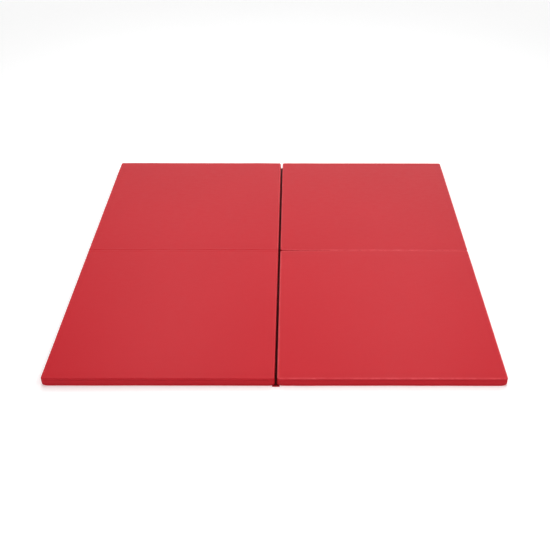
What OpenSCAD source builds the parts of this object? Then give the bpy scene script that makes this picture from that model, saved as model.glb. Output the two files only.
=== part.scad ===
// Folding gym mat: four square foam panels in vinyl covers, two by two.
// Units are millimetres. The origin is the middle of the mat on the floor,
// +Z is up, -Y is the front and +X is the right.
//
// The panels form a chain, front right - front left - back left - back right.
// The two centre hinges are strips along the bottom, so those panels fold
// bottom to bottom. The cross hinge is a strip along the top of the left
// half, so the back row folds top to top onto the front row. The right half
// of the cross line is a plain slit, which lets four thick panels stack.

/* [Mat] */
// Width of the whole mat, left to right
mat_w = 1220; // [1160:10:1500]
// Depth of the whole mat, front to back, without the hinge strip ends
mat_d = 1220; // [1160:10:1500]
// Width of the open gap between the left and right panels
gap_w = 7; // [5:0.5:12]
// How far the gap sits to the right of the middle
gap_x = 3.3; // [-5:0.1:5]
// Width of the tight cross line between the front and back panels
crease_w = 0.8; // [0.6:0.1:3]

/* [Panel] */
// Thickness of the foam slab
foam_t = 25.4; // [22:0.2:60]
// Thickness of the cover vinyl
vinyl_t = 0.8; // [0.5:0.1:1.5]
// Corner radius of a panel, seen from above
corner_r = 7; // [4:0.5:15]

/* [Hinge strips] */
// How far a bottom strip is lapped under each panel
base_lap = 6.5; // [5:0.5:15]
// How far the top strip is lapped over each panel
top_lap = 10; // [6:0.5:20]
// How far the bottom strips stand out at the front and back edges
strip_out = 3.5; // [0:0.5:6]

/* [Zip] */
// Length of the zip opening in each panel's outer wall
zip_l = 508; // [400:1:560]
// Height of the slot in the wall that the zip shows through
slot_h = 8.4; // [8:0.2:10]
// Depth kept free of foam behind the zip wall
zip_pocket = 4.2; // [4.2:0.1:6]
// Width of each zip tape
tape_w = 10.4; // [8:0.1:11]
// Thickness of each zip tape
tape_t = 0.5; // [0.4:0.1:0.8]
// Width of each half of the coil
coil_w = 2.4; // [2:0.1:3]
// Thickness of the coil
coil_t = 1.1; // [0.8:0.1:1.2]
// Length of the slider
slider_l = 11; // [9:0.5:14]
// Width of the slider across its front plate
slider_w = 7.2; // [6.8:0.1:7.6]
// Thickness of the slider's front and back plates
slider_plate = 0.9; // [0.7:0.1:0.9]
// Length of the end stop
stop_l = 6; // [4:0.5:8]

/* [Hidden] */
total_t = foam_t + 2 * vinyl_t;
half_w = mat_w / 2;
half_d = mat_d / 2;
left_w = half_w + gap_x - gap_w / 2;
right_w = half_w - gap_x - gap_w / 2;
panel_d = half_d - crease_w / 2;
mid_z = total_t / 2;
// where the zip starts and ends along the wall
zip_a = (panel_d - zip_l) / 2;
zip_b = zip_a + zip_l;
// height of a turned-in hem, and how far in from the outer face it reaches
hem_h = 6;
hem_in = 2.4;
// how far a hem and a tape run on past each end of the slot
hem_over = 10;
tape_over = 12;
// the free lines between the two tapes and between the two coil halves
tape_gap = 1.2;
coil_gap = 1.0;
// the slider's front face is set in this far from the outer face
slider_in = 0.2;
// the post between the slider's plates, and the lips on its front plate
post_w = 0.6;
post_l = 4;
lip_t = 0.5;
lip_h = 1.1;
// the slider's back plate starts behind the tapes
back_plate_in = 3.1;
back_plate_w = 6.4;
// where the slider stands with the zip closed
slider_start = zip_a + 3;
// height of the end stop, and its clearance at the end of the slot
stop_h = 6.4;
stop_end = 2;
// steps in a rounded corner
arc_steps = 8;
// how far a cutting block reaches past what it cuts
over = 1;
// what each node is called: row and side, then the piece
rows = ["front", "back"];
sides = ["left", "right"];
pieces = ["foam_core", "top_sheet", "base_sheet", "side_band", "zip_band",
          "zip_tape_upper", "zip_tape_lower", "zip_coil_upper",
          "zip_coil_lower", "zip_slider", "zip_end_stop"];
strips = ["centre_front_hinge_strip", "centre_back_hinge_strip",
          "cross_left_hinge_strip"];

cover_red = [0.78, 0.2, 0.24];
foam_grey = [0.86, 0.86, 0.84];
tape_dark = [0.35, 0.06, 0.08];
coil_dark = [0.22, 0.05, 0.06];
zip_metal = [0.62, 0.62, 0.64];

// points on a corner arc, from angle a0 to a1
function arc(cx, cy, r, a0, a1) =
    [for (i = [0 : arc_steps])
        let (a = a0 + (a1 - a0) * i / arc_steps)
        [cx + r * cos(a), cy + r * sin(a)]];

// a rectangle with rounded corners, as points
function rounded(x0, x1, y0, y1, r) = concat(
    arc(x0 + r, y0 + r, r, 180, 270),
    arc(x1 - r, y0 + r, r, 270, 360),
    arc(x1 - r, y1 - r, r, 0, 90),
    arc(x0 + r, y1 - r, r, 90, 180));

// Each panel is drawn with its outer corner at the origin: x runs in from
// the outer wall, y runs in from the outer edge to the cross line.
module place(row, side) {
    x = side == "left" ? -half_w : half_w;
    y = row == "front" ? -half_d : half_d;
    translate([x, y, 0])
        mirror([side == "left" ? 0 : 1, 0, 0])
            mirror([0, row == "front" ? 0 : 1, 0])
                children();
}

function panel_w(side) = side == "left" ? left_w : right_w;

// closed-cell foam slab, set back from the zip wall
module foam_core(side) {
    color(foam_grey)
        translate([0, 0, vinyl_t])
            linear_extrude(foam_t)
                polygon(rounded(zip_pocket, panel_w(side) - vinyl_t,
                                vinyl_t, panel_d - vinyl_t,
                                corner_r - vinyl_t));
}

// one flat sheet of the cover
module cover_sheet(side) {
    linear_extrude(vinyl_t)
        polygon(rounded(0, panel_w(side), 0, panel_d, corner_r));
}

// top of the cover; on the left it stops where the top hinge strip starts
module top_sheet(side) {
    color(cover_red)
        translate([0, 0, total_t - vinyl_t])
            difference() {
                cover_sheet(side);
                if (side == "left")
                    translate([-over, panel_d - top_lap, -over])
                        cube([left_w + 2 * over, top_lap + over, vinyl_t + 2 * over]);
            }
}

// bottom of the cover; it stops where the bottom hinge strip starts
module base_sheet(side) {
    color(cover_red)
        difference() {
            cover_sheet(side);
            translate([panel_w(side) - base_lap, -over, -over])
                cube([base_lap + over, panel_d + 2 * over, vinyl_t + 2 * over]);
        }
}

// wall of the cover on the three sides without a zip
module side_band(side) {
    w = panel_w(side);
    r = corner_r;
    ri = corner_r - vinyl_t;
    color(cover_red)
        translate([0, 0, vinyl_t])
            linear_extrude(foam_t)
                polygon(concat(
                    arc(r, r, r, 180, 270),
                    arc(w - r, r, r, 270, 360),
                    arc(w - r, panel_d - r, r, 0, 90),
                    arc(r, panel_d - r, r, 90, 180),
                    arc(r, panel_d - r, ri, 180, 90),
                    arc(w - r, panel_d - r, ri, 90, 0),
                    arc(w - r, r, ri, 360, 270),
                    arc(r, r, ri, 270, 180)));
}

// outer wall with the zip slot, its edges turned in as hems
module zip_band() {
    color(cover_red)
        difference() {
            union() {
                translate([0, corner_r, vinyl_t])
                    cube([vinyl_t, panel_d - 2 * corner_r, foam_t]);
                for (s = [-1, 1])
                    translate([vinyl_t,
                               zip_a - hem_over,
                               mid_z + s * (slot_h + hem_h) / 2 - hem_h / 2])
                        cube([hem_in - vinyl_t, zip_l + 2 * hem_over, hem_h]);
            }
            translate([-over, zip_a, mid_z - slot_h / 2])
                cube([hem_in + 2 * over, zip_l, slot_h]);
        }
}

// one woven tape, sewn behind a hem; up is 1 for the upper one
module zip_tape(up) {
    color(tape_dark)
        translate([hem_in,
                   zip_a - tape_over,
                   mid_z + up * (tape_gap + tape_w) / 2 - tape_w / 2])
            cube([tape_t, zip_l + 2 * tape_over, tape_w]);
}

// one half of the coil, on the face of its tape, as far as the end stop
module zip_coil(up) {
    color(coil_dark)
        translate([hem_in - coil_t,
                   zip_a + stop_end,
                   mid_z + up * (coil_gap + coil_w) / 2 - coil_w / 2])
            cube([coil_t, zip_l - 2 * stop_end - stop_l, coil_w]);
}

// slider: a front and a back plate joined by a post that runs between the
// halves of the coil, with side lips on the front plate
module zip_slider() {
    front_in = slider_in + slider_plate;
    color(zip_metal)
        translate([0, slider_start, mid_z])
            union() {
                translate([slider_in, 0, -slider_w / 2])
                    cube([slider_plate, slider_l, slider_w]);
                for (s = [-1, 1])
                    translate([front_in, 0, s * (slider_w - lip_t) / 2 - lip_t / 2])
                        cube([lip_h, slider_l, lip_t]);
                translate([front_in, 0, -post_w / 2])
                    cube([back_plate_in - front_in, post_l, post_w]);
                translate([back_plate_in, 0, -back_plate_w / 2])
                    cube([slider_plate, slider_l, back_plate_w]);
            }
}

// stop that holds both tapes together at the inner end of the zip
module zip_end_stop() {
    color(zip_metal)
        translate([hem_in - coil_t, zip_b - stop_end - stop_l, mid_z - stop_h / 2])
            cube([coil_t, stop_l, stop_h]);
}

// bottom hinge strip of one row, lapped under the panels on both sides
module centre_strip(row) {
    color(cover_red)
        translate([gap_x - gap_w / 2 - base_lap,
                   row == "front" ? -half_d - strip_out : crease_w / 2,
                   0])
            cube([gap_w + 2 * base_lap, panel_d + strip_out, vinyl_t]);
}

// top hinge strip of the left half, lapped over the panels on both sides
module cross_strip() {
    color(cover_red)
        translate([-half_w, -crease_w / 2 - top_lap, total_t - vinyl_t])
            cube([left_w, crease_w + 2 * top_lap, vinyl_t]);
}

// draws the piece p of one panel
module piece(side, p) {
    if (p == "foam_core") foam_core(side);
    if (p == "top_sheet") top_sheet(side);
    if (p == "base_sheet") base_sheet(side);
    if (p == "side_band") side_band(side);
    if (p == "zip_band") zip_band();
    if (p == "zip_tape_upper") zip_tape(1);
    if (p == "zip_tape_lower") zip_tape(-1);
    if (p == "zip_coil_upper") zip_coil(1);
    if (p == "zip_coil_lower") zip_coil(-1);
    if (p == "zip_slider") zip_slider();
    if (p == "zip_end_stop") zip_end_stop();
}

for (r = rows)
    for (s = sides)
        for (p = pieces)
            place(r, s) piece(s, p);

centre_strip("front");  // centre_front_hinge_strip
centre_strip("back");  // centre_back_hinge_strip
cross_strip();  // cross_left_hinge_strip
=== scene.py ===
"""Looks of the folding gym mat: sewn vinyl covers over foam, zips, hinge strips, light and camera.

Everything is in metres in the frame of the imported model. A panel is built in its own local
plane: u runs in from its outer (zip) wall, v runs in from its outer edge to the cross line.
"""
import math
import random

import bmesh
import bpy
import numpy as np
from mathutils import Matrix, Vector


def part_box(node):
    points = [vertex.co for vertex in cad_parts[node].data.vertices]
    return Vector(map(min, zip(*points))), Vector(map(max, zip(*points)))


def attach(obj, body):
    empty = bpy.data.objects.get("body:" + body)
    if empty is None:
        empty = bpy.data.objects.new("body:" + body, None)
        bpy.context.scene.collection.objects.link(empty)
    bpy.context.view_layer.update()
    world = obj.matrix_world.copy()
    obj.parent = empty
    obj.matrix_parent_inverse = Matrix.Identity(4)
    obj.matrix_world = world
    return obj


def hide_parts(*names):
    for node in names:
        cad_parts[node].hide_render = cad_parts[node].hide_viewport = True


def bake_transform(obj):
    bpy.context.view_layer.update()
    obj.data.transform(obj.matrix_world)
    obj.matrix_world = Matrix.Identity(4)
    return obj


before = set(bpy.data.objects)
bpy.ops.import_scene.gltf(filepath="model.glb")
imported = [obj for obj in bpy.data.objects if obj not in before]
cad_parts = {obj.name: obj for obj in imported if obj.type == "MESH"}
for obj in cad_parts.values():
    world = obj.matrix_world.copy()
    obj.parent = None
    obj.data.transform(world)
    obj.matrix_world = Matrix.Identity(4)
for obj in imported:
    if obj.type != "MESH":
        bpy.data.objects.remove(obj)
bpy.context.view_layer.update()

MM = 0.001

# ---------------------------------------------------------------- sizes, from the frame

PANELS = ("front_left", "front_right", "back_left", "back_right")
LEFT_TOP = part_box("front_left_top_sheet")
HEIGHT = LEFT_TOP[1].z
MID = HEIGHT / 2
GAP_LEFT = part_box("front_left_side_band")[1].x
GAP_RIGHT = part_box("front_right_side_band")[0].x
GAP_MID = (GAP_LEFT + GAP_RIGHT) / 2

# the cover's corners and edges
CORNER_R = 7 * MM
TOP_R = 2.6 * MM
GAP_EDGE_R = TOP_R * 0.85
CREASE_R = 1.7 * MM
BASE_R = 1.3 * MM
EDGE_STEPS = 6
# the corner zone, where the grid bends round a corner, and the lines just inside it
CORNER_ZONE = 22 * MM
INNER_LINES = [x * MM for x in (24.5, 26.5, 28.5, 31, 35)]
GRID_STEP = 7 * MM
# the two seams that join the wall to the top and the bottom
SEAM_DROP = 5.6 * MM
SEAM_RISE = 5.2 * MM
SEAM_TOP = HEIGHT - SEAM_DROP
SEAM_DEPTH = 0.55 * MM
SEAM_WIDTH = 0.75 * MM
# how the top sinks at its edges and its corners
EDGE_SINK = 0.2 * MM
CORNER_SINK = 0.55 * MM
CROWN = 0.45 * MM
RUCKS = 0.1 * MM
SWELL = 0.12 * MM
BOW = 0.2 * MM
# the bottom turns up at the cover's corners, outer and inner
CORNER_LIFT = 4.2 * MM
INNER_LIFT = 3.2 * MM
LIFT_REACH = 9 * MM
PULL_IN = 0.35 * MM
PULL_REACH = 60 * MM
# the cloth simulation: cells along a side, frames, and the move at which the cap bites. With 24
# or 48 cells the result was found to vary with the number of threads, and with 16 it wasn't.
SIM_CELLS = 16
SIM_FRAMES = 24
SIM_CAP = 25 * MM
# the cloth: its solver steps, the pressure inside, its mass and its four stiffnesses
SIM_STEPS = 5
SIM_PRESSURE = 4
SIM_MASS = 0.3
SIM_STRETCH = 40
SIM_SHEAR = 10
SIM_BEND = 4
# cells of the underside that aren't held, how often the move is blurred to leave the gathers
# behind, and the cells at the rim where the gathers are taken from the next row
SIM_FREE = 3
SIM_BLURS = 6
SIM_RIM = 2
# the fine gathers along a seam, and the slower waver of the edge
PUCKER = 0.05 * MM
PUCKER_REACH = 3.5 * MM
WAVER = 0.12 * MM
# how far in from an edge or a corner each of the top's moves dies out
CORNER_REACH = 95 * MM
EDGE_REACH = 24 * MM
BOW_REACH = 120 * MM
PUCKER_FADE = 11 * MM
WAVER_FADE = 26 * MM
# the wall's fullness between its seams, and the faint ridge of the seam allowance on the top
WALL_SWELL = 0.25 * MM
WALL_SWELL_WIDTH = 6 * MM
RIDGE = 0.12 * MM
RIDGE_AT = 26.5 * MM
RIDGE_WIDTH = 2.2 * MM
# the underside's edges lift by up to twice this, and leave this much room for a bottom strip
UNDER_LIFT = 0.45 * MM
STRIP_ROOM = 0.95 * MM
# how deep the top hinge strip dips at the cross line
CREASE_DIP = 0.8 * MM
# the free slit on the right opens by this much at the centre gap, and shuts further out
SLIT_OPEN = 1.9 * MM
SLIT_REACH = 130 * MM
# the bottom strips end in two rounded hem lumps, this high and this far either side of the gap
HEM_RISE = 1.9 * MM
HEM_SIDE = 5.2 * MM
HEM_DEPTH = 4.5 * MM
HEM_WIDTH = 3.4 * MM
# the walls of the centre gap lean together towards the bottom
GAP_LEAN = 1.0 * MM
# the length from stitch to stitch, the thread's radius, and how far the stitches are from a seam
STITCH = 4.2 * MM
THREAD_R = 0.28 * MM
STITCH_INSET = 2.2 * MM
# the foam stands this far inside the cover, a little further at the zip, easing out by the reach
FOAM_INSET = 1.0 * MM
FOAM_ZIP_ROOM = 0.5 * MM
FOAM_REACH = 30 * MM
# how far the zip slot's edges are turned in
SLOT_HEM = 2.2 * MM
# how far the slot reaches past the coil and the end stop
SLOT_SPARE = 2 * MM
# the thickness of a cover sheet and of a hinge strip, as they are drawn
SHEET_THICK = 0.75 * MM
STRIP_THICK = 0.6 * MM
# how near the middle of the zip the two coils and the two tapes reach, and the slider's post
ZIP_MEET = 0.1 * MM
POST_HALF = 0.07 * MM
# the clip that stops the zip: its bevel, how many cuts and ribs it has, and how deep they are
CLIP_BEVEL = 0.35 * MM
CLIP_CUTS = 24
CLIP_RIBS = 3
CLIP_WAIST = 0.16
CLIP_RIB_DEPTH = 0.22

# how strong the painted highlight along each panel's top edge is, strongest on the right panels where the
# light falls, and how wide the pale line is along the top and bottom edges
EDGE_HIGHLIGHT = {"front_left": 0.12, "front_right": 0.75, "back_left": 0.35, "back_right": 0.6}
PALE_EDGE_WIDTH = 3.0 * MM

# light: the sky's strength low down and overhead, how much more it has at the horizon, the
# glow behind, the floor's own glow near and far, and the lamps in watts
SKY_LOW = 0.55
SKY_HIGH = 0.08
HORIZON = 0.5
FLOOR_NEAR = 0.27
FLOOR_FAR = 0.75
GLOW = 1.5
BOX_LEFT = 14.0
BOX_RIGHT = 13.4
EDGE_LIGHT = 5
FLOOR_HALF = 60

# the camera: where it stands, its turns in degrees, its lens in millimetres and its shift
CAMERA_PLACE = (0.0509, -2.1792, 1.4542)
CAMERA_PITCH = 35.0
CAMERA_YAW = 0.141
CAMERA_ROLL = 0.141
LENS = 52.95
SHIFT = -0.0377


def smooth(x):
    """A smooth step from 0 to 1."""
    x = np.clip(x, 0, 1)
    return x * x * (3 - 2 * x)


def waves(seed, lengths):
    """A fixed smooth random curve of a distance: a sum of sines of these wavelengths."""
    rng = random.Random(seed)
    terms = [(length * rng.uniform(0.8, 1.25), rng.uniform(0, math.tau)) for length in lengths]

    def curve(s):
        return sum(np.sin(math.tau * s / length + phase) for length, phase in terms) / len(terms)

    return curve


class Panel:
    """One panel's place and size, read from its nodes."""

    def __init__(self, name):
        self.name = name
        self.body = name + "_panel"
        low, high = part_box(name + "_side_band")
        low2, high2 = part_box(name + "_zip_band")
        self.low = Vector(map(min, low, low2))
        self.high = Vector(map(max, high, high2))
        self.left = "left" in name
        self.front = "front" in name
        self.w = self.high.x - self.low.x
        self.d = self.high.y - self.low.y
        self.sx = 1 if self.left else -1
        self.sy = 1 if self.front else -1
        self.x = self.low.x if self.left else self.high.x
        self.y = self.low.y if self.front else self.high.y
        self.seed = PANELS.index(name) + 1
        coil_low, coil_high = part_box(name + "_zip_coil_upper")
        stop_low, stop_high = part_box(name + "_zip_end_stop")
        self.zip_a = min(abs(y - self.y) for y in (coil_low.y, coil_high.y)) - SLOT_SPARE
        self.zip_b = max(abs(y - self.y) for y in (stop_low.y, stop_high.y)) + SLOT_SPARE

    def place(self, co):
        """Local points (u, v, z) as points of the frame."""
        return np.column_stack((self.x + self.sx * co[:, 0], self.y + self.sy * co[:, 1], co[:, 2]))

    def turned(self):
        """True where placing mirrors the panel, so that its faces need turning."""
        return self.sx * self.sy < 0


# ---------------------------------------------------------------- the padded slab


def grid_lines(length, step, extra=()):
    """Grid lines across a slab: close together near both edges, even between them."""
    arc = [TOP_R * (1 - math.cos(math.radians(90 * k / EDGE_STEPS))) for k in range(EDGE_STEPS + 1)]
    near = arc + [x * MM for x in (5.5, 7.5, 10, 13, 17)] + [CORNER_ZONE]
    edge = near + INNER_LINES
    count = round((length - 2 * edge[-1]) / step)
    middle = list(np.linspace(edge[-1], length - edge[-1], count + 1)[1:-1])
    for x in extra:
        middle[int(np.argmin([abs(m - x) for m in middle]))] = x
    lines = edge + middle + [length - x for x in reversed(edge)]
    return np.array(lines), len(near)


def ring_point(inset, along, corner_r):
    """A point of the ring at this inset near a corner, in the corner's frame.

    along is 0 on the diagonal and 1 or -1 where the ring leaves the corner zone.
    """
    s = abs(along)
    if inset < corner_r:
        r = corner_r - inset
        arc = r * math.pi / 4
        run = s * (CORNER_ZONE - corner_r + arc)
        if run <= arc:
            a = math.radians(225) + run / r
            x, y = corner_r + r * math.cos(a), corner_r + r * math.sin(a)
            nx, ny = math.cos(a), math.sin(a)
        else:
            x, y, nx, ny = corner_r + run - arc, inset, 0, -1
    else:
        x, y = inset + s * (CORNER_ZONE - inset), inset
        a = math.radians(225 + 45 * smooth(s * 2))
        nx, ny = math.cos(a), math.sin(a)
    return (x, y, nx, ny) if along >= 0 else (y, x, ny, nx)


class Slab:
    """A closed padded slab w by d, as vertex arrays in local (u, v, z), with its faces by place.

    radii are the top edge radii of the sides v = 0, u = w, v = d and u = 0. levels are
    heights on the wall, from the top down. It keeps each vertex's outward normal in plan,
    its inset from the outline, and its run along the outline.
    """

    def __init__(self, w, d, height, radii, base_r, levels, step, extra_v=(), corner_r=CORNER_R):
        self.w, self.d, self.height = w, d, height
        self.lu, zone = grid_lines(w, step)
        self.lv, _ = grid_lines(d, step, extra_v)
        self.zone = zone
        self.corner_r = corner_r
        n, m = len(self.lu), len(self.lv)
        rows, self.faces, self.place_of = [], [], []
        top = [[self.vertex(rows, i, j, radii, True) for j in range(m)] for i in range(n)]
        base = [[self.vertex(rows, i, j, [base_r] * 4, False) for j in range(m)] for i in range(n)]
        self.top = np.array(top)
        for i in range(n - 1):
            for j in range(m - 1):
                self.add((top[i][j], top[i + 1][j], top[i + 1][j + 1], top[i][j + 1]), ("top", i, j))
                self.add((base[i][j], base[i][j + 1], base[i + 1][j + 1], base[i + 1][j]), ("base", i, j))
        rim = [(i, 0) for i in range(n - 1)]
        rim += [(n - 1, j) for j in range(m - 1)]
        rim += [(i, m - 1) for i in range(n - 1, 0, -1)]
        rim += [(0, j) for j in range(m - 1, 0, -1)]
        side = [0] * (n - 1) + [1] * (m - 1) + [2] * (n - 1) + [3] * (m - 1)
        columns = []
        for i, j in rim:
            high, low = rows[top[i][j]], rows[base[i][j]]
            column = [top[i][j]]
            for z in levels:
                row = list(high)
                row[2] = min(z, high[2] - 0.2 * MM) if z > MID else max(z, low[2] + 0.2 * MM)
                column.append(len(rows))
                rows.append(row)
            columns.append(column + [base[i][j]])
        for p, (a, b) in enumerate(zip(columns, columns[1:] + columns[:1])):
            v = (rows[a[0]][1] + rows[b[0]][1]) / 2
            for k in range(len(a) - 1):
                self.add((a[k], a[k + 1], b[k + 1], b[k]), ("wall", k, side[p], v))
        data = np.array(rows)
        self.co, self.normal = data[:, :3].copy(), data[:, 3:5]
        self.inset, self.run = data[:, 5], data[:, 6]
        self.on_wall = np.zeros(len(data), bool)
        for column in columns:
            self.on_wall[column] = True

    def add(self, face, place):
        self.faces.append(face)
        self.place_of.append(place)

    def vertex(self, rows, i, j, radii, is_top):
        """Adds the grid's vertex (i, j) on the top or the base, and returns its number."""
        n, m, zone = len(self.lu), len(self.lv), self.zone
        low_u, low_v = i < n / 2, j < m / 2
        ki, kj = (i if low_u else n - 1 - i), (j if low_v else m - 1 - j)
        near = self.lu
        side_u, side_v = (3 if low_u else 1), (0 if low_v else 2)
        k = min(ki, kj)
        nx = ny = 0.0
        if ki < zone and kj < zone:
            along = 0.0 if k == zone - 1 else (near[max(ki, kj)] - near[k]) / (CORNER_ZONE - near[k])
            along *= 1 if ki > kj else -1
            share = float(smooth((along + 1) / 2))
            r = radii[side_u] + (radii[side_v] - radii[side_u]) * share
            inset = self.scaled(near[k], r)
            a, b, nx, ny = ring_point(inset, along, self.corner_r)
        else:
            side = side_u if ki < kj else side_v
            r = radii[side]
            a = self.lu[i] if low_u else self.w - self.lu[i]
            b = self.lv[j] if low_v else self.d - self.lv[j]
            inset = self.scaled(near[k], r) if k < zone else min(a, b)
            if k < zone:
                a, b = (inset, b) if ki < kj else (a, inset)
            nx, ny = (-1.0, 0.0) if ki < kj else (0.0, -1.0)
        drop = r * (1 - math.sin(math.radians(90 * min(k, EDGE_STEPS) / EDGE_STEPS)))
        u, v = (a if low_u else self.w - a), (b if low_v else self.d - b)
        nx, ny = (nx if low_u else -nx), (ny if low_v else -ny)
        z = self.height - drop if is_top else drop
        run = self.run_at(u, v, nx, ny)
        rows.append([u, v, z, nx, ny, inset, run])
        return len(rows) - 1

    @staticmethod
    def scaled(inset, r):
        """A nominal inset, for an edge of radius r instead of TOP_R."""
        if inset <= TOP_R:
            return inset * r / TOP_R
        return r + (inset - TOP_R) * (CORNER_ZONE - r) / (CORNER_ZONE - TOP_R)

    def run_at(self, u, v, nx, ny):
        """How far round the outline a point near it lies."""
        if abs(ny) >= abs(nx):
            return u if ny < 0 else self.w + self.d + (self.w - u)
        return self.w + v if nx > 0 else 2 * self.w + self.d + (self.d - v)

    def top_near_crease(self, u, inset):
        """The height of the top at u, this far in from the crease side."""
        row = self.top[:, -1 - int(np.argmin(np.abs(self.d - self.lv[::-1] - inset)))]
        return float(np.interp(u, self.co[row, 0], self.co[row, 2]))

    def push(self, amount):
        """Moves vertices outwards in plan, by an amount for each."""
        self.co[:, 0] += self.normal[:, 0] * amount
        self.co[:, 1] += self.normal[:, 1] * amount


def bump_at(x, centre, width):
    """A smooth hump of height 1 at centre."""
    return np.exp(-(((x - centre) / width) ** 2))


def wall_levels():
    """Heights on a cover's wall from the top down, close together at the seams and the zip slot."""
    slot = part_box("front_left_zip_coil_upper")[1].z + 1.3 * MM
    near = [2.2 * MM, 1.1 * MM, 0.5 * MM, 0, -0.5 * MM, -1.1 * MM, -2.2 * MM]
    high = [SEAM_TOP + x for x in near]
    low = [SEAM_RISE + x for x in near]
    middle = [slot, MID + 1.4 * MM, MID - 1.4 * MM, HEIGHT - slot]
    levels = high + middle + low
    return levels, 1 + 3, 1 + len(high) + len(middle) + 3, 1 + len(high), slot


LEVELS, SEAM_TOP_K, SEAM_BASE_K, SLOT_K, SLOT_Z = wall_levels()


# ---------------------------------------------------------------- the padding, by cloth simulation


class Swell:
    """How a sewn cover swells over its filling, from one cloth simulation of a closed pad.

    The pad is a panel-sized box of cloth blown up from inside, with its underside held flat.
    Firm foam lets the real cover do only a little of this, so the moves are capped softly and
    scaled: crown is 1 at the top of the crown and 0 at the lowest edge, rucks holds the
    gathers round the rim between -1 and 1, and pull is how far the sides draw in, 0 to 1.
    """

    def __init__(self, w, d):
        n = SIM_CELLS + 1
        moved = self.simulate(w, d)
        top = moved[:n * n].reshape(n, n, 3)
        capped = top[..., 2] / (top[..., 2] + SIM_CAP)
        soft = capped.copy()
        for _ in range(SIM_BLURS):
            soft = (soft + np.roll(soft, 1, 0) + np.roll(soft, -1, 0)) / 3
            soft = (soft + np.roll(soft, 1, 1) + np.roll(soft, -1, 1)) / 3
        self.crown = (capped - capped.min()) / np.ptp(capped)
        rucks = capped - soft
        rim = [0, 1, -2, -1]
        rucks[rim, :] = rucks[SIM_RIM:SIM_RIM + 1, :]
        rucks[:, rim] = rucks[:, SIM_RIM:SIM_RIM + 1]
        inner = slice(SIM_RIM + 1, -SIM_RIM - 1)
        self.rucks = np.clip(rucks / np.abs(rucks[inner, inner]).max(), -1, 1)
        side = top[:, 0, 1]
        self.pull = side / side.max()

    @staticmethod
    def simulate(w, d):
        """Where each of the pad's points has moved to, less where it started."""
        n = SIM_CELLS + 1
        x, y = np.linspace(0, w, n), np.linspace(0, d, n)
        points = [(a, b, HEIGHT) for a in x for b in y] + [(a, b, 0) for a in x for b in y]
        faces = []
        for i in range(SIM_CELLS):
            for j in range(SIM_CELLS):
                p, q = i * n + j, n * n + i * n + j
                faces += [(p, p + n, p + n + 1, p + 1), (q, q + 1, q + n + 1, q + n)]
        last = SIM_CELLS
        rim = [(i, 0) for i in range(last)] + [(last, j) for j in range(last)]
        rim += [(i, last) for i in range(last, 0, -1)] + [(0, j) for j in range(last, 0, -1)]
        first = len(points)
        points += [(x[i], y[j], MID) for i, j in rim]
        for k, (i, j) in enumerate(rim):
            after = (k + 1) % len(rim)
            a, b = i * n + j, rim[after][0] * n + rim[after][1]
            faces += [(b, a, first + k, first + after), (first + after, first + k, n * n + a, n * n + b)]
        pad = new_mesh("swelling_pad", points, faces)
        kept = range(SIM_FREE, n - SIM_FREE)
        held = [n * n + i * n + j for i in kept for j in kept]
        pad.vertex_groups.new(name="held").add(held, 1, "REPLACE")
        cloth = pad.modifiers.new("swell", "CLOTH")
        cloth.settings.quality = SIM_STEPS
        cloth.settings.mass = SIM_MASS
        cloth.settings.use_pressure = True
        cloth.settings.uniform_pressure_force = SIM_PRESSURE
        cloth.settings.effector_weights.gravity = 0
        cloth.settings.tension_stiffness = SIM_STRETCH
        cloth.settings.compression_stiffness = SIM_STRETCH
        cloth.settings.shear_stiffness = SIM_SHEAR
        cloth.settings.bending_stiffness = SIM_BEND
        cloth.settings.vertex_group_mass = "held"
        cloth.collision_settings.use_collision = False
        cloth.point_cache.frame_start = 1
        cloth.point_cache.frame_end = SIM_FRAMES
        for number in range(1, SIM_FRAMES + 1):
            bpy.context.scene.frame_set(number)
        apply_modifiers(pad)
        co = np.array([v.co[:] for v in pad.data.vertices])
        bpy.data.objects.remove(pad)
        bpy.context.scene.frame_set(1)
        return co - np.array(points)

    def at(self, field, u, v, turns):
        """A field's value at shares u and v of the panel's sides, turned by quarter turns."""
        grid = np.rot90(field, turns)
        x, y = np.clip(u, 0, 1) * SIM_CELLS, np.clip(v, 0, 1) * SIM_CELLS
        i, j = np.minimum(x.astype(int), SIM_CELLS - 1), np.minimum(y.astype(int), SIM_CELLS - 1)
        around = np.pad(grid, 1, mode="reflect", reflect_type="odd")
        across, along = self.weights(x - i), self.weights(y - j)
        return sum(across[a] * along[b] * around[i + a, j + b] for a in range(4) for b in range(4))

    @staticmethod
    def weights(t):
        """How much four neighbours in a row count on a smooth curve, t of the way between two."""
        return (
            -t / 2 + t ** 2 - t ** 3 / 2,
            1 - 5 * t ** 2 / 2 + 3 * t ** 3 / 2,
            t / 2 + 2 * t ** 2 - 3 * t ** 3 / 2,
            -t ** 2 / 2 + t ** 3 / 2,
        )

    def pull_at(self, share):
        return np.interp(np.clip(share, 0, 1), np.linspace(0, 1, SIM_CELLS + 1), self.pull)


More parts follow.
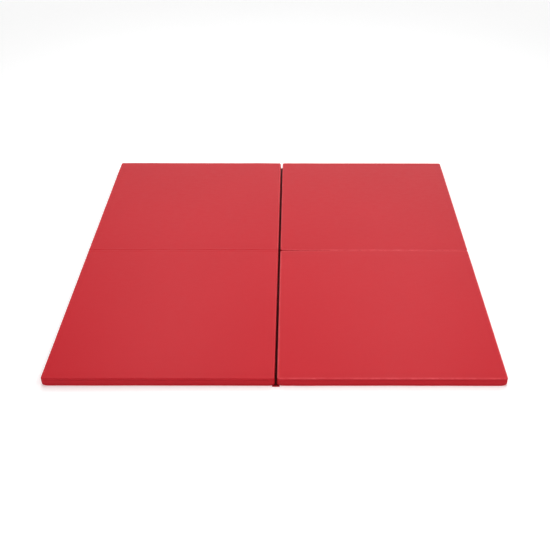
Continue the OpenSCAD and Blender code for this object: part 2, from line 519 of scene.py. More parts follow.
def cover_slab(panel, swell):
    """The outer surface of one panel's cover, with its crown, seams and puckers."""
    slab = Slab(
        panel.w, panel.d, HEIGHT, [TOP_R, GAP_EDGE_R, CREASE_R, TOP_R], BASE_R, LEVELS,
        GRID_STEP, (panel.zip_a, panel.zip_b),
    )
    w, d = panel.w, panel.d
    u, v, z = slab.co[:, 0].copy(), slab.co[:, 1].copy(), slab.co[:, 2].copy()
    up = smooth(z / HEIGHT)
    du, dv = np.minimum(u, w - u), np.minimum(v, d - v)
    # the outer sides draw in between the corners
    slab.co[:, 0] += PULL_IN * swell.pull_at(v / d) * np.exp(-u / PULL_REACH)
    slab.co[:, 1] += PULL_IN * swell.pull_at(u / w) * np.exp(-v / PULL_REACH)
    # the top sinks towards its seams, more at the corners, and stands a little crowned
    corner = np.exp(-np.hypot(du, dv) / CORNER_REACH)
    edge = np.exp(-((np.minimum(du, dv) / EDGE_REACH) ** 1.2))
    crown = swell.at(swell.crown, u / w, v / d, panel.seed)
    sink = EDGE_SINK * edge + CORNER_SINK * corner + CROWN * (1 - crown)
    sink -= RUCKS * swell.at(swell.rucks, u / w, v / d, panel.seed)
    # long soft swells, a different set for each panel
    swell_u = waves(10 + panel.seed, [w * 1.4, w * 0.9, w * 0.55])
    swell_v = waves(20 + panel.seed, [d * 1.3, d * 0.8, d * 0.5])
    sink += SWELL * (1 + 0.5 * (swell_u(u + 0.4 * v) + swell_v(v - 0.3 * u)))
    slab.co[:, 2] -= up * sink
    # each edge has its own shallow bow
    bow = waves(30 + panel.seed, [w * 1.1, w * 0.6])
    slab.co[:, 2] -= up * BOW * np.exp(-dv / BOW_REACH) * (1 + bow(u + 0.2 * d))
    # the wall is stitched in at both seams
    groove = bump_at(z, SEAM_TOP, SEAM_WIDTH) + bump_at(z, SEAM_RISE, SEAM_WIDTH)
    slab.push(-SEAM_DEPTH * groove * slab.on_wall)
    # the vinyl swells a little between the seams and stands fuller above the top one
    slab.push(WALL_SWELL * bump_at(z, MID, WALL_SWELL_WIDTH) * slab.on_wall)
    # the seams gather the vinyl into fine uneven puckers that die out on the top and the wall
    fine = waves(40 + panel.seed, [9 * MM, 13 * MM, 21 * MM])
    broad = waves(50 + panel.seed, [47 * MM, 83 * MM, 160 * MM])
    strength = 0.55 + 0.45 * broad(slab.run * 0.7)
    near_seam = sum(np.exp(-np.abs(z - seam) / PUCKER_REACH) for seam in (SEAM_TOP, SEAM_RISE))
    slab.push(PUCKER * strength * fine(slab.run) * near_seam * slab.on_wall)
    slab.push(WAVER * broad(slab.run) * slab.on_wall)
    fade = np.exp(-((slab.inset / PUCKER_FADE) ** 1.3))
    slab.co[:, 2] += up * PUCKER * strength * fine(slab.run) * fade
    slab.co[:, 2] += up * WAVER * broad(slab.run) * np.exp(-((slab.inset / WAVER_FADE) ** 1.5))
    # the allowance inside the outer seams shows as a faint ridge
    along = 0.5 + 0.5 * waves(60 + panel.seed, [140 * MM, 260 * MM, 90 * MM])(u + v)
    ridge = bump_at(v, RIDGE_AT, RIDGE_WIDTH) + bump_at(u, RIDGE_AT, RIDGE_WIDTH)
    slab.co[:, 2] += up * RIDGE * along * ridge
    # the walls of the centre gap lean together towards the floor
    lean = GAP_LEAN * smooth((12 * MM - z) / (9 * MM)) * smooth((u - w + 12 * MM) / (12 * MM))
    slab.co[:, 0] += lean
    # the free slit opens towards the centre gap
    if not panel.left:
        open_here = SLIT_OPEN * np.exp(-(w - u) / SLIT_REACH)
        slab.co[:, 1] -= open_here * smooth((v - d + 20 * MM) / (18 * MM))
    # the underside is flat in the middle, and its edges lift unevenly
    lift = waves(70 + panel.seed, [w * 0.9, w * 0.45, w * 0.25])
    under = (1 - up) * np.exp(-((slab.inset / (9 * MM)) ** 2)) * (slab.inset < CORNER_ZONE)
    slab.co[:, 2] += UNDER_LIFT * (1 + lift(slab.run)) * under * (z < MID)
    # the bottom turns up at the four corners, where the cover is pulled round the foam
    for corner_u, amount in ((0, CORNER_LIFT), (w, INNER_LIFT)):
        for corner_v in (0, d):
            near = np.exp(-(((u - corner_u) ** 2 + (v - corner_v) ** 2) / LIFT_REACH ** 2))
            slab.co[:, 2] += amount * near * np.clip(1 - z / MID, 0, 1)
    # room for the bottom hinge strip under the gap side
    strip = smooth((u - w + 10 * MM) / (3 * MM)) * (z < BASE_R * 1.01)
    slab.co[:, 2] = np.maximum(slab.co[:, 2], strip * STRIP_ROOM)
    slab.co[:, 2] = np.clip(slab.co[:, 2], 0, HEIGHT - 0.02 * MM)
    return slab


def foam_shape(panel, slab):
    """The foam's points: the cover's own shape, drawn in past the vinyl and back from the zip."""
    shell = new_mesh("foam_shape", slab.co, slab.faces)
    normals = np.array([vert.normal[:] for vert in shell.data.vertices])
    bpy.data.objects.remove(shell)
    co = slab.co - FOAM_INSET * normals
    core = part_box(panel.name + "_foam_core")[0 if panel.left else 1]
    pocket = abs(core.x - panel.x) + FOAM_ZIP_ROOM
    near = co[:, 0] < FOAM_REACH
    share = (co[near, 0] - FOAM_INSET) / (FOAM_REACH - FOAM_INSET)
    co[near, 0] = pocket + share * (FOAM_REACH - pocket)
    return co


# ---------------------------------------------------------------- meshes and pieces


def new_mesh(name, co, faces, sharp=40):
    """A smooth-shaded mesh object in the frame's own coordinates."""
    mesh = bpy.data.meshes.new(name)
    mesh.from_pydata([tuple(map(float, p)) for p in co], [], faces)
    mesh.validate()
    return shown(name, mesh, sharp)


def shown(name, mesh, sharp):
    """Puts a mesh in the scene, smooth but for edges sharper than this many degrees."""
    mesh.polygons.foreach_set("use_smooth", [True] * len(mesh.polygons))
    mesh.set_sharp_from_angle(angle=math.radians(sharp))
    obj = bpy.data.objects.new(name, mesh)
    bpy.context.scene.collection.objects.link(obj)
    return obj


def from_bmesh(name, bm, sharp):
    mesh = bpy.data.meshes.new(name)
    bm.to_mesh(mesh)
    bm.free()
    return shown(name, mesh, sharp)


def finish_piece(obj, material, body, nodes=()):
    """Gives a piece its material and body, and hides the nodes that it replaces."""
    obj.data.materials.clear()
    obj.data.materials.append(material)
    if body:
        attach(obj, body)
    if nodes:
        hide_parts(*nodes)
    return obj


def picked(co, faces):
    """The vertices that some faces use, and the faces renumbered to them."""
    used = sorted({n for f in faces for n in f})
    number = {n: k for k, n in enumerate(used)}
    return co[used], [tuple(number[n] for n in f) for f in faces], used


def thicken(obj, thickness):
    """Gives a sheet its real thickness, inwards from its outer face, and keeps it as mesh."""
    mod = obj.modifiers.new("thickness", "SOLIDIFY")
    mod.thickness = thickness
    mod.offset = -1
    mod.use_even_offset = False
    apply_modifiers(obj)


def apply_modifiers(obj):
    """Turns an object's modifiers into plain mesh."""
    graph = bpy.context.evaluated_depsgraph_get()
    mesh = bpy.data.meshes.new_from_object(obj.evaluated_get(graph))
    old = obj.data
    obj.modifiers.clear()
    obj.data = mesh
    bpy.data.meshes.remove(old)


def add_attribute(obj, name, values):
    layer = obj.data.attributes.new(name, "FLOAT", "POINT")
    layer.data.foreach_set("value", np.asarray(values, np.float32))


def turn_in(obj, edges_at, depth, towards):
    """Extrudes the boundary edges that edges_at picks, as a hem turned in by depth."""
    bm = bmesh.new()
    bm.from_mesh(obj.data)
    for share in (0.25, 1.0):
        edges = [e for e in bm.edges if e.is_boundary and all(edges_at(v.co) for v in e.verts)]
        made = bmesh.ops.extrude_edge_only(bm, edges=edges)["geom"]
        step = depth * (share if share < 1 else 0.75)
        for vert in (g for g in made if isinstance(g, bmesh.types.BMVert)):
            vert.co += towards * step
    bmesh.ops.recalc_face_normals(bm, faces=bm.faces)
    # the extrusion leaves its faces in an order that differs from run to run
    bm.verts.index_update()
    count = len(bm.verts)

    def rank(face):
        numbers = [vert.index for vert in face.verts]
        return min(numbers) * count + max(numbers)

    bm.faces.sort(key=rank)
    bm.to_mesh(obj.data)
    bm.free()


def build_cover(panel, vinyl, thread, swell):
    """One panel's four cover sheets, sewn edge to edge, with stitches along the seams."""
    slab = cover_slab(panel, swell)
    co = panel.place(slab.co)
    band_ends = (CORNER_ZONE, panel.d - CORNER_ZONE)
    parts = {"top_sheet": [], "side_band": [], "zip_band": [], "base_sheet": []}
    for face, place in zip(slab.faces, slab.place_of):
        if panel.turned():
            face = tuple(reversed(face))
        if place[0] in ("top", "base"):
            parts[place[0] + "_sheet"].append(face)
            continue
        _, k, side, v = place
        in_band = side == 3 and band_ends[0] < v < band_ends[1]
        if k < SEAM_TOP_K:
            parts["top_sheet"].append(face)
        elif k >= SEAM_BASE_K:
            parts["base_sheet"].append(face)
        elif not in_band:
            parts["side_band"].append(face)
        elif not (SLOT_K <= k < SLOT_K + 3 and panel.zip_a < v < panel.zip_b):
            parts["zip_band"].append(face)
    # the vinyl is painted paler along the top edge, a painted highlight on the rounded edge, and a little
    # paler along the bottom one
    patchy = 0.75 + 0.25 * waves(80 + panel.seed, [60 * MM, 150 * MM, 400 * MM])(slab.run)
    rim = np.exp(-((slab.inset / PALE_EDGE_WIDTH) ** 2))
    edge_highlight_and_pale_base = EDGE_HIGHLIGHT[panel.name] * patchy * rim * smooth((slab.co[:, 2] - 22.5 * MM) / (3 * MM))
    edge_highlight_and_pale_base += 0.35 * patchy * rim * np.exp(-((slab.co[:, 2] / (2 * MM)) ** 2))
    for part, faces in parts.items():
        points, faces, used = picked(co, faces)
        obj = new_mesh(f"{panel.name}_{part}_vinyl", points, faces)
        # each sheet carries the pale-edge mask: a painted highlight along the top edge, a little paler
        # along the bottom edge
        add_attribute(obj, "highlight_and_pale_base", edge_highlight_and_pale_base[used])
        if part == "zip_band":
            inside = Vector((panel.sx, 0, 0))

            def at_slot(p):
                v = abs(p.y - panel.y)
                return (panel.zip_a - MM < v < panel.zip_b + MM
                        and abs(p.z - MID) < SLOT_Z - MID + MM)

            turn_in(obj, at_slot, SLOT_HEM, inside)
        thicken(obj, SHEET_THICK)
        finish_piece(obj, vinyl, panel.body, [f"{panel.name}_{part}"])
        if part in ("top_sheet", "base_sheet"):
            sides = [panel.w + 2 * SEAM_DROP, panel.d + 2 * SEAM_DROP]
        else:
            zip_side = panel.d - 2 * CORNER_ZONE
            round_it = 2 * (panel.w + panel.d) - zip_side
            sides = [zip_side if part == "zip_band" else round_it, SEAM_TOP - SEAM_RISE]
        area = sides[0] * sides[1]
        if part == "zip_band":
            slot = (panel.zip_b - panel.zip_a, 2 * (SLOT_Z - MID))
            area += 2 * SLOT_HEM * (slot[0] + slot[1]) - slot[0] * slot[1]
    stitch_seams(panel, slab, thread)
    slab.x0 = panel.x
    return slab


def build_foam(panel, slab, foam):
    faces = [tuple(reversed(f)) for f in slab.faces] if panel.turned() else slab.faces
    obj = new_mesh(f"{panel.name}_foam", panel.place(foam_shape(panel, slab)), faces)
    finish_piece(obj, foam, panel.body, [f"{panel.name}_foam_core"])


# ---------------------------------------------------------------- stitching


def stitch_mesh(name, stitches):
    """Short threads, each an arched six-sided bead from a to b that stands off along out."""
    co, faces = [], []
    rings = ((0.0, 0.25, -0.6), (0.22, 0.9, 0.25), (0.5, 1.0, 0.45), (0.78, 0.9, 0.25), (1.0, 0.25, -0.6))
    for a, b, out in stitches:
        along = (b - a).normalized()
        across = along.cross(out).normalized()
        first = len(co)
        for share, size, rise in rings:
            centre = a.lerp(b, share) + out * (rise * THREAD_R)
            for k in range(6):
                angle = math.tau * k / 6
                co.append(centre + (across * math.cos(angle) + out * math.sin(angle)) * THREAD_R * size)
        for r in range(len(rings) - 1):
            for k in range(6):
                p, q = first + 6 * r + k, first + 6 * r + (k + 1) % 6
                faces.append((p, p + 6, q + 6, q))
        faces.append(tuple(first + k for k in range(6)))
        faces.append(tuple(first + 24 + k for k in reversed(range(6))))
    return new_mesh(name, co, faces, sharp=60)


def wall_curve(slab, panel, z):
    """A closed curve round the wall at height z: points with their outward normals."""
    levels = [slab.height] + LEVELS + [0]
    k = int(np.argmin([abs(x - z) for x in levels]))
    count = 2 * (len(slab.lu) - 1) + 2 * (len(slab.lv) - 1)
    first = 2 * len(slab.lu) * len(slab.lv)
    ids = [first + p * len(LEVELS) + (k - 1) for p in range(count)]
    points = panel.place(slab.co[ids])
    normals = slab.normal[ids] * (panel.sx, panel.sy)
    return points, normals


def stitch_seams(panel, slab, thread):
    """Lines of stitches on the wall, just inside the two seams."""
    stitches = []
    for z in (SEAM_TOP - STITCH_INSET, SEAM_RISE + STITCH_INSET):
        points, normals = wall_curve(slab, panel, z)
        closed = np.vstack([points, points[:1]])
        steps = np.linalg.norm(np.diff(closed, axis=0), axis=1)
        run = np.concatenate([[0], np.cumsum(steps)])
        outs = np.vstack([normals, normals[:1]])
        count = int(run[-1] / STITCH)

        def at(s):
            s = s % run[-1]
            p = [np.interp(s, run, closed[:, c]) for c in range(3)]
            o = [np.interp(s, run, outs[:, c]) for c in range(2)]
            return Vector(p), Vector((o[0], o[1], 0)).normalized()

        for n in range(count):
            a, out = at(n * run[-1] / count)
            b, _ = at((n + 0.74) * run[-1] / count)
            stitches.append((a, b, out))
    obj = stitch_mesh(f"{panel.name}_stitching", stitches)
    finish_piece(obj, thread, panel.body)


# ---------------------------------------------------------------- zips


def bar(name, low, high, bevel, cuts=0):
    """A box between two corners with rounded edges, cut into lengths along Y."""
    bm = bmesh.new()
    bmesh.ops.create_cube(bm, size=1)
    size, centre = high - low, (high + low) / 2
    bmesh.ops.scale(bm, vec=size, verts=bm.verts)
    bmesh.ops.translate(bm, vec=centre, verts=bm.verts)
    if bevel:
        bmesh.ops.bevel(bm, geom=bm.edges[:], offset=bevel, segments=2, affect="EDGES", profile=0.6)
    if cuts:
        for k in range(1, cuts):
            y = low.y + size.y * k / cuts
            geom = bm.verts[:] + bm.edges[:] + bm.faces[:]
            bmesh.ops.bisect_plane(bm, geom=geom, plane_co=(0, y, 0), plane_no=(0, 1, 0))
    return from_bmesh(name, bm, 40)


def clamp_mesh(name, low, high):
    """The end stop: a metal clip crimped round the coil, waisted and ribbed along its length."""
    clip = bar(name, low, high, CLIP_BEVEL, cuts=CLIP_CUTS)
    middle, half = (low + high) / 2, (high - low) / 2
    for vert in clip.data.vertices:
        share = (vert.co.y - middle.y) / half.y
        ribs = 0.5 + 0.5 * math.cos(math.tau * CLIP_RIBS * share / 2)
        vert.co.z = middle.z + (vert.co.z - middle.z) * (1 - CLIP_WAIST * (1 - share ** 2))
        vert.co.x = middle.x + (vert.co.x - middle.x) * (1 - CLIP_RIB_DEPTH * ribs)
    return clip


def meeting(low, high, up):
    """A zip half's box, with its inner edge moved in until it almost meets the other half."""
    low, high = low.copy(), high.copy()
    if up > 0:
        low.z = MID + ZIP_MEET
    else:
        high.z = MID - ZIP_MEET
    return low, high


def coil_mesh(name, low, high, up):
    """Half of a zip coil: a flattened helix whose loops alternate with the other half's."""
    pitch, wire, per_turn, sides = 1.35 * MM, 0.3 * MM, 8, 5
    shift = pitch / 2 if up < 0 else 0
    span = high.y - low.y - 2 * wire - 2 * shift
    turns = round((high.y - low.y) / pitch) - (1 if up < 0 else 0)
    half_x = (high.x - low.x) / 2 - wire
    half_z = (high.z - low.z) / 2 - wire
    centre_x, centre_z = (high.x + low.x) / 2, (high.z + low.z) / 2
    steps = turns * per_turn
    t = np.arange(steps + 1) / per_turn
    angle = math.tau * t
    path = np.column_stack((
        centre_x + half_x * np.cos(angle),
        low.y + wire + shift + span * t / turns,
        centre_z + up * half_z * np.sin(angle),
    ))
    ahead = np.gradient(path, axis=0)
    ahead /= np.linalg.norm(ahead, axis=1)[:, None]
    out = path - np.column_stack((np.full(steps + 1, centre_x), path[:, 1], np.full(steps + 1, centre_z)))
    out /= np.linalg.norm(out, axis=1)[:, None]
    side = np.cross(ahead, out)
    co, faces = [], []
    for k in range(sides):
        a = math.tau * k / sides
        co.append(path + (out * math.cos(a) + side * math.sin(a)) * wire)
    co = np.stack(co, axis=1).reshape(-1, 3)
    for n in range(steps):
        for k in range(sides):
            p, q = n * sides + k, n * sides + (k + 1) % sides
            faces.append((p, q, q + sides, p + sides))
    faces.append(tuple(reversed(range(sides))))
    faces.append(tuple(steps * sides + k for k in range(sides)))
    obj = new_mesh(name, co, faces, sharp=80)
    bm = bmesh.new()
    bm.from_mesh(obj.data)
    bmesh.ops.recalc_face_normals(bm, faces=bm.faces)
    bm.to_mesh(obj.data)
    bm.free()
    return obj


def slider_mesh(name, panel):
    """The slider: a shield-shaped front plate with turned lips, a post and a back plate."""
    low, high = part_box(panel.name + "_zip_slider")
    length, wide = high.y - low.y, high.z - low.z
    plate = 0.9 * MM
    face_x = abs((low.x if panel.left else high.x) - panel.x)
    back_x = abs((high.x if panel.left else low.x) - panel.x)
    start = min(abs(low.y - panel.y), abs(high.y - panel.y))
    bm = bmesh.new()

    def slab_of(outline, x0, x1, bevel):
        """A plate with this outline of (v, z), from x0 to x1 deep."""
        verts = [bm.verts.new((x0, v, z)) for v, z in outline]
        face = bm.faces.new(verts)
        made = bmesh.ops.extrude_face_region(bm, geom=[face])["geom"]
        moved = [g for g in made if isinstance(g, bmesh.types.BMVert)]
        bmesh.ops.translate(bm, vec=(x1 - x0, 0, 0), verts=moved)
        rim = [e for v in verts + moved for e in v.link_edges]
        rim = [e for e in dict.fromkeys(rim) if abs(e.verts[0].co.x - e.verts[1].co.x) < 1e-7]
        bmesh.ops.bevel(bm, geom=rim, offset=bevel, segments=2, affect="EDGES", profile=0.5)

    def shield(scale):
        """Wide at the nose with rounded shoulders, narrower at the tail."""
        half = wide / 2 * scale
        points = []
        for k in range(7):
            a = math.radians(90 + 15 * k)
            v = start + 2.2 * MM * (1 + math.cos(a))
            points.append((v, half - 1.6 * MM * (1 - math.sin(a))))
        low_side = [(v, -z) for v, z in reversed(points)]
        tail = [(start + length - 0.8 * MM, -half * 0.72), (start + length, -half * 0.5),
                (start + length, half * 0.5), (start + length - 0.8 * MM, half * 0.72)]
        waist = [(start + length * 0.45, -half * 0.98)]
        waist_up = [(start + length * 0.45, half * 0.98)]
        return points + low_side + waist + tail + waist_up

    slab_of(shield(1.0), face_x, face_x + plate, 0.25 * MM)
    slab_of(shield(0.88), back_x - plate, back_x, 0.25 * MM)
    front_in = face_x + plate
    for s in (-1, 1):
        z0, z1 = sorted((s * (wide / 2 - 0.55 * MM), s * (wide / 2 - 0.1 * MM)))
        v0, v1 = start + 2 * MM, start + length * 0.5
        lip = [(v0, z0), (v1, z0), (v1, z1), (v0, z1)]
        slab_of(lip, front_in - 0.2 * MM, front_in + 1.0 * MM, 0.1 * MM)
    post = [(start + 0.6 * MM, -POST_HALF), (start + 4 * MM, -POST_HALF),
            (start + 4 * MM, POST_HALF), (start + 0.6 * MM, POST_HALF)]
    slab_of(post, front_in - 0.1 * MM, back_x - plate + 0.1 * MM, 0.02 * MM)
    for vert in bm.verts:
        p = panel.place(np.array([[vert.co.x, vert.co.y, vert.co.z + MID]]))[0]
        vert.co = Vector(p)
    # placing mirrors some panels, so the normals are worked out afresh before they are turned out
    bm.normal_update()
    bmesh.ops.recalc_face_normals(bm, faces=bm.faces)
    return from_bmesh(name, bm, 35)


def build_zip(panel, tape, coil, metal):
    """The tapes, the coil, the slider and the end stop of one panel's zip."""
    for half, up in (("upper", 1), ("lower", -1)):
        node = f"{panel.name}_zip_tape_{half}"
        low, high = meeting(*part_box(node), up)
        strip = bar(f"{node}_woven", low, high, 0.12 * MM, cuts=40)
        finish_piece(strip, tape, panel.body, [node])
        node = f"{panel.name}_zip_coil_{half}"
        low, high = meeting(*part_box(node), up)
        loops = coil_mesh(f"{node}_loops", low, high, up)
        finish_piece(loops, coil, panel.body, [node])
    node = f"{panel.name}_zip_end_stop"
    low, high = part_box(node)
    stop = clamp_mesh(f"{node}_clamp", low, high)
    finish_piece(stop, metal, panel.body, [node])
    node = f"{panel.name}_zip_slider"
    slider = slider_mesh(f"{node}_shield", panel)
    finish_piece(slider, metal, f"{panel.name}_slider", [node])


# ---------------------------------------------------------------- hinge strips


def strip_mesh(name, across, along, height_at, thickness, turn=False):
    """A strip of vinyl on a grid of across by along, whose upper face is at height_at."""
    points, faces = [], []
    for a in across:
        for b in along:
            x, y = (b, a) if turn else (a, b)
            points.append((x, y, height_at(x, y)))
    n = len(along)
    for i in range(len(across) - 1):
        for j in range(n - 1):
            p = i * n + j
            face = (p, p + n, p + n + 1, p + 1)
            faces.append(tuple(reversed(face)) if turn else face)
    obj = new_mesh(name, points, faces)
    thicken(obj, thickness)
    return obj


def build_cross_strip(vinyl, slabs):
    """The top hinge strip: it dips at the cross line and thins out over the panels."""
    node = "cross_left_hinge_strip"
    low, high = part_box(node)
    lap = high.y
    across = np.array([-lap] + [-x * MM for x in (8.2, 6.5, 4.8, 3.4, 2.4, 1.6, 0.9, 0.4)])
    across = np.concatenate([across, [0], -across[::-1]])
    along = np.linspace(low.x + 0.6 * MM, high.x - 0.6 * MM, 120)
    dip = waves(92, [70 * MM, 130 * MM, 240 * MM])

    def height(x, y):
        u = x - slabs["front_left"].x0
        front = slabs["front_left"].top_near_crease(u, 6 * MM)
        back = slabs["back_left"].top_near_crease(u, 6 * MM)
        share = float(smooth((y + 3 * MM) / (6 * MM)))
        flat = front + (back - front) * share
        lift = 0.28 * MM - 0.4 * MM * float(smooth((abs(y) - 5 * MM) / (lap - 5 * MM)))
        crease = CREASE_DIP * (1 + 0.35 * float(dip(x))) * math.exp(-((y / (1.5 * MM)) ** 2))
        return flat + lift - crease

    strip = strip_mesh(f"{node}_vinyl", across, along, height, STRIP_THICK, turn=True)
    finish_piece(strip, vinyl, None, [node])
    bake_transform(strip)


def build_centre_strips(vinyl):
    """The two bottom hinge strips under the centre gap, each with two hem lumps at its outer end."""
    wave = waves(91, [31 * MM, 57 * MM, 110 * MM])
    for row, body_a, body_b in (
        ("front", "front_left_panel", "front_right_panel"),
        ("back", "back_left_panel", "back_right_panel"),
    ):
        node = f"centre_{row}_hinge_strip"
        low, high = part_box(node)
        across = np.concatenate([
            np.linspace(low.x, GAP_LEFT, 9)[:-1],
            np.linspace(GAP_LEFT, GAP_RIGHT, 13)[:-1],
            np.linspace(GAP_RIGHT, high.x, 9),
        ])
        end = np.array([0, 0.25, 0.7, 1.3, 2.1, 3.0, 3.8, 4.6, 5.6]) * MM
        along = np.linspace(low.y + end[-1], high.y - end[-1], 108)[1:-1]
        along = np.concatenate([low.y + end, along, high.y - end[::-1]])
        outer = low.y if row == "front" else high.y

        def height(x, y, high=high, outer=outer):
            inset = abs(y - outer)
            lumps = bump_at(abs(x - GAP_MID), HEM_SIDE, HEM_WIDTH)
            round_off = math.sqrt(max(0.0, 1 - (1 - min(inset / (1.8 * MM), 1)) ** 2))
            hem = HEM_RISE * lumps * float(smooth((HEM_DEPTH - inset) / (1.6 * MM)))
            return high.z - 0.08 * MM + 0.05 * MM * float(wave(y + 3 * x)) + hem * round_off

        strip = strip_mesh(f"{node}_vinyl", across, along, height, STRIP_THICK)
        strip_y = np.array([v.co.y for v in strip.data.vertices])
        # the hem mask: the strip's ends stand out of the gap, so its painted shade lets up there
        add_attribute(strip, "hem", smooth((HEM_DEPTH - np.abs(strip_y - outer)) / (1.5 * MM)))
        finish_piece(strip, vinyl, None, [node])
        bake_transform(strip)


# ---------------------------------------------------------------- materials


class Nodes:
    """Short calls for building a node material."""

    def __init__(self, name):
        self.material = bpy.data.materials.new(name)
        self.material.use_nodes = True
        self.tree = self.material.node_tree
        self.shader = self.tree.nodes["Principled BSDF"]
        self.where = self.add("ShaderNodeTexCoord").outputs["Object"]

    def add(self, kind, **values):
        node = self.tree.nodes.new(kind)
        for key, value in values.items():
            setattr(node, key, value)
        return node

    def link(self, a, b):
        self.tree.links.new(a, b)

    def noise(self, scale, detail=2.0, rough=0.5, stretch=None):
        node = self.add("ShaderNodeTexNoise")
        node.inputs["Scale"].default_value = scale
        node.inputs["Detail"].default_value = detail
        node.inputs["Roughness"].default_value = rough
        where = self.where
        if stretch:
            mapping = self.add("ShaderNodeMapping")
            mapping.inputs["Scale"].default_value = stretch
            self.link(where, mapping.inputs["Vector"])
            where = mapping.outputs["Vector"]
        self.link(where, node.inputs["Vector"])
        return node.outputs["Fac"]

    def cells(self, scale):
        node = self.add("ShaderNodeTexVoronoi", feature="SMOOTH_F1")
        node.inputs["Scale"].default_value = scale
        node.inputs["Smoothness"].default_value = 0.6
        self.link(self.where, node.inputs["Vector"])
        return node.outputs["Distance"]

    def ramp(self, value, low, high, at=(0.3, 0.7)):
        node = self.add("ShaderNodeMapRange")
        node.inputs["From Min"].default_value = at[0]
        node.inputs["From Max"].default_value = at[1]
        node.inputs["To Min"].default_value = low
        node.inputs["To Max"].default_value = high
        self.link(value, node.inputs["Value"])
        return node.outputs["Result"]

    def mix(self, fac, a, b):
        node = self.add("ShaderNodeMix", data_type="RGBA")
        colour_in = [s for s in node.inputs if s.type == "RGBA"]
        for socket, value in zip(colour_in, (a, b)):
            if isinstance(value, tuple):
                socket.default_value = (*value, 1)
            else:
                self.link(value, socket)
        self.link(fac, node.inputs[0])
        return next(s for s in node.outputs if s.type == "RGBA")

    def maths(self, operation, a, b):
        node = self.add("ShaderNodeMath", operation=operation)
        for socket, value in zip(node.inputs, (a, b)):
            if isinstance(value, (int, float)):
                socket.default_value = value
            else:
                self.link(value, socket)
        return node.outputs[0]

    def attribute(self, name):
        return self.add("ShaderNodeAttribute", attribute_name=name).outputs["Fac"]

    def bump(self, height, strength, distance):
        node = self.add("ShaderNodeBump")
        node.inputs["Strength"].default_value = strength
        node.inputs["Distance"].default_value = distance
        self.link(height, node.inputs["Height"])
        self.link(node.outputs["Normal"], self.shader.inputs["Normal"])

    def set(self, **values):
        for key, value in values.items():
            socket = self.shader.inputs[key.replace("_", " ")]
            if hasattr(value, "is_linked"):
                self.link(value, socket)
            elif isinstance(value, tuple):
                socket.default_value = (*value, 1)
            else:
                socket.default_value = value


def vinyl_material(name, dark, base, pale, rough, edge="highlight_and_pale_base"):
    """Satin red vinyl with a fine pressed grain and soft scuffs, mixed towards pale by the attribute
    edge: on the mat a painted highlight along the top edges and a paler bottom edge, on the hinge strips
    their hems, out of the painted shade.
    """
    m = Nodes(name)
    cloudy = m.ramp(m.noise(3.2, 2, 0.5), 0, 1, (0.25, 0.75))
    colour = m.mix(cloudy, dark, base)
    # the pale mask: a painted highlight along the mat's top edges; on the hinge strips, the hems where
    # the painted shade lets up
    pale_share = m.attribute(edge)
    if edge == "highlight_and_pale_base":
        pale_share = m.maths("MULTIPLY", pale_share, m.ramp(m.noise(60, 4, 0.6), 0.55, 1.0, (0.35, 0.65)))
    colour = m.mix(pale_share, colour, pale)
    grain = m.maths("ADD", m.cells(950), m.maths("MULTIPLY", m.noise(2600, 2, 0.5), 0.35))
    scuffs = m.ramp(m.noise(38, 5, 0.65, (1, 2.3, 1)), rough - 0.05, rough + 0.07)
    m.bump(grain, 0.16, 0.25 * MM)
    m.set(Base_Color=colour, Roughness=m.maths("SUBTRACT", scuffs, m.maths("MULTIPLY", pale_share, 0.12)))
    m.set(Specular_IOR_Level=0.1)
    return m.material


def foam_material():
    m = Nodes("closed_cell_foam")
    pores = m.cells(1400)
    colour = m.mix(m.ramp(m.noise(90, 4, 0.6), 0, 1), (0.62, 0.62, 0.6), (0.78, 0.78, 0.75))
    colour = m.mix(m.ramp(pores, 0.35, 0.0, (0.0, 0.35)), colour, (0.5, 0.5, 0.48))
    m.bump(pores, 0.6, 0.3 * MM)
    m.set(Base_Color=colour, Roughness=m.ramp(m.noise(300), 0.8, 0.95))
    return m.material


def tape_material():
    """Herringbone-like weave along the tape."""
    m = Nodes("woven_tape")
    waves_node = m.add("ShaderNodeTexWave", wave_type="BANDS", bands_direction="DIAGONAL")
    waves_node.inputs["Scale"].default_value = 420
    waves_node.inputs["Distortion"].default_value = 1.5
    m.link(m.where, waves_node.inputs["Vector"])
    weave = waves_node.outputs["Fac"]
    m.bump(weave, 0.5, 0.15 * MM)
    m.set(Base_Color=m.mix(weave, (0.16, 0.012, 0.018), (0.32, 0.03, 0.04)))
    m.set(Roughness=m.ramp(weave, 0.75, 0.9, (0, 1)))
    return m.material


def grained_material(name, noise, strength, depth, dark, pale, rough, **fixed):
    """A finish whose colour, roughness and bump all follow one fine noise."""
    m = Nodes(name)
    grain = m.noise(*noise)
    m.bump(grain, strength, depth)
    m.set(Base_Color=m.mix(grain, dark, pale), Roughness=m.ramp(grain, *rough), **fixed)
    return m.material


def floor_material():
    m = Nodes("pale_floor")
    m.set(Base_Color=m.mix(m.noise(3), (0.93, 0.93, 0.93), (0.95, 0.95, 0.95)))
    m.set(Roughness=0.9, Specular_IOR_Level=0.1)
    far = m.add("ShaderNodeVectorMath", operation="LENGTH")
    m.link(m.where, far.inputs[0])
    glow = m.ramp(far.outputs["Value"], FLOOR_NEAR, FLOOR_FAR, (1.2, 6))
    m.set(Emission_Color=(1, 1, 1), Emission_Strength=glow)
    return m.material


# ---------------------------------------------------------------- light, floor and camera


def area_light(name, place, aim, size, power):
    """A soft rectangular light; size is its width across and its length towards the back."""
    light = bpy.data.lights.new(name, "AREA")
    light.shape = "RECTANGLE"
    light.size, light.size_y = size
    light.energy = power
    obj = bpy.data.objects.new(name, light)
    obj.location = place
    obj.rotation_euler = (Vector(aim) - Vector(place)).to_track_quat("-Z", "Y").to_euler()
    obj.visible_camera = False
    bpy.context.scene.collection.objects.link(obj)


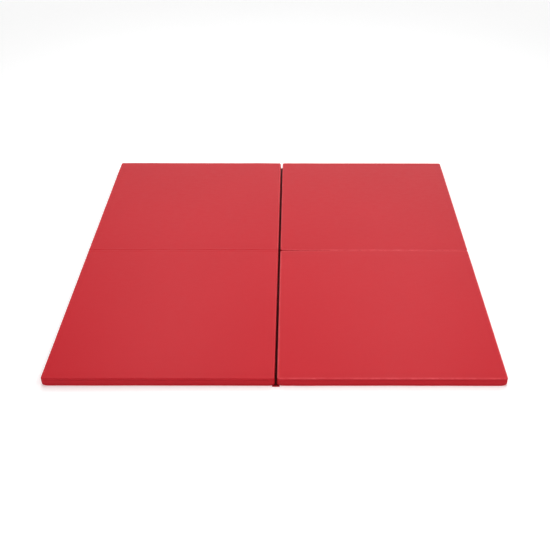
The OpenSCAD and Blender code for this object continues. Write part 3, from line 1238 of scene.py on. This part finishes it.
def build_sky():
    """A soft sky, dimmer overhead, with a broad glow low behind the mat, which the vinyl mirrors."""
    world = bpy.data.worlds.new("studio")
    bpy.context.scene.world = world
    world.use_nodes = True
    tree = world.node_tree
    where = tree.nodes.new("ShaderNodeTexCoord").outputs["Generated"]

    def patch(centre, start, end, low, high):
        """A strength that goes from low to high as a direction nears the centre."""
        near = tree.nodes.new("ShaderNodeVectorMath")
        near.operation = "DOT_PRODUCT"
        near.inputs[1].default_value = Vector(centre).normalized()
        share = tree.nodes.new("ShaderNodeMapRange")
        share.interpolation_type = "SMOOTHSTEP"
        for socket, value in (("From Min", start), ("From Max", end), ("To Min", low), ("To Max", high)):
            share.inputs[socket].default_value = value
        tree.links.new(where, near.inputs[0])
        tree.links.new(near.outputs["Value"], share.inputs["Value"])
        return share.outputs["Result"]

    def plus(a, b):
        total = tree.nodes.new("ShaderNodeMath")
        total.operation = "ADD"
        tree.links.new(a, total.inputs[0])
        tree.links.new(b, total.inputs[1])
        return total.outputs[0]

    overhead = patch((0, 0, 1), 0.3, 0.9, SKY_LOW, SKY_HIGH)
    horizon = patch((0, 0, 1), 0.06, 0.24, HORIZON, 0)
    total = plus(plus(overhead, horizon), patch((0.15, 0.85, 0.5), 0.78, 1, 0, GLOW))
    background = tree.nodes["Background"]
    background.inputs["Color"].default_value = (1, 1, 1, 1)
    tree.links.new(total, background.inputs["Strength"])


def build_stage():
    build_sky()
    for name, x, power in (("softbox_left", -0.6, BOX_LEFT), ("softbox_right", 0.6, BOX_RIGHT)):
        area_light(name, (x, 0.3, 1.45), (x, 0.3, 0), (0.5, 2.9), power)
    area_light("edge_light", (0.8, -1.05, 1.5), (0.45, -0.61, 0), (0.9, 0.35), EDGE_LIGHT)
    corners = [(x * FLOOR_HALF, y * FLOOR_HALF, 0) for x, y in ((-1, -1), (1, -1), (1, 1), (-1, 1))]
    floor = new_mesh("floor", corners, [(0, 1, 2, 3)])
    floor.location.z = -0.2 * MM
    floor.data.materials.append(floor_material())


def build_camera():
    """The camera of a catalogue picture: square on, about 35 degrees above the floor."""
    data = bpy.data.cameras.new("camera")
    data.sensor_width = 36
    data.lens = LENS
    data.shift_x = SHIFT
    camera = bpy.data.objects.new("camera", data)
    camera.location = CAMERA_PLACE
    pitch, yaw, roll = map(math.radians, (CAMERA_PITCH, CAMERA_YAW, CAMERA_ROLL))
    turn = Matrix.Rotation(-yaw, 4, "Z") @ Matrix.Rotation(math.pi / 2 - pitch, 4, "X")
    camera.rotation_euler = (turn @ Matrix.Rotation(roll, 4, "Z")).to_euler()
    bpy.context.scene.collection.objects.link(camera)
    bpy.context.scene.camera = camera


# ---------------------------------------------------------------- the mat

bpy.context.scene.view_settings.view_transform = "Standard"
build_camera()
build_stage()

# the mat's vinyl: the third colour is the pale red painted along the edges, a painted highlight on the
# top ones
vinyl = vinyl_material(
    "red_vinyl", (0.51, 0.0115, 0.02), (0.525, 0.0125, 0.0215), (0.9, 0.14, 0.16), 0.42,
)
# the bottom hinge strips are painted a very dark red as painted shade in the centre gap; their pale
# colour, at the hems out of the gap, is near the mat's own red
hinge_vinyl = vinyl_material(
    "hinge_vinyl", (0.13, 0.003, 0.006), (0.15, 0.004, 0.007), (0.5, 0.011, 0.019), 0.48, "hem",
)
foam = foam_material()
tape = tape_material()
coil = grained_material(
    "nylon_coil", (900, 2), 0.1, 0.05 * MM, (0.12, 0.012, 0.016), (0.2, 0.025, 0.03), (0.32, 0.45),
)
metal = grained_material(
    "zinc_slider", (1500, 3, 0.6, (1, 0.15, 1)), 0.15, 0.05 * MM,
    (0.27, 0.27, 0.28), (0.4, 0.4, 0.42), (0.28, 0.45), Metallic=1.0,
)
thread = grained_material(
    "polyester_thread", (3500, 2, 0.5, (1, 1, 0.4)), 0.4, 0.1 * MM,
    (0.33, 0.016, 0.025), (0.5, 0.03, 0.042), (0.55, 0.7), Specular_IOR_Level=0.15,
)

slabs = {}
swell = Swell(Panel(PANELS[0]).w, Panel(PANELS[0]).d)
for panel in map(Panel, PANELS):
    slabs[panel.name] = build_cover(panel, vinyl, thread, swell)
    build_foam(panel, slabs[panel.name], foam)
    build_zip(panel, tape, coil, metal)
build_centre_strips(hinge_vinyl)
build_cross_strip(vinyl, slabs)
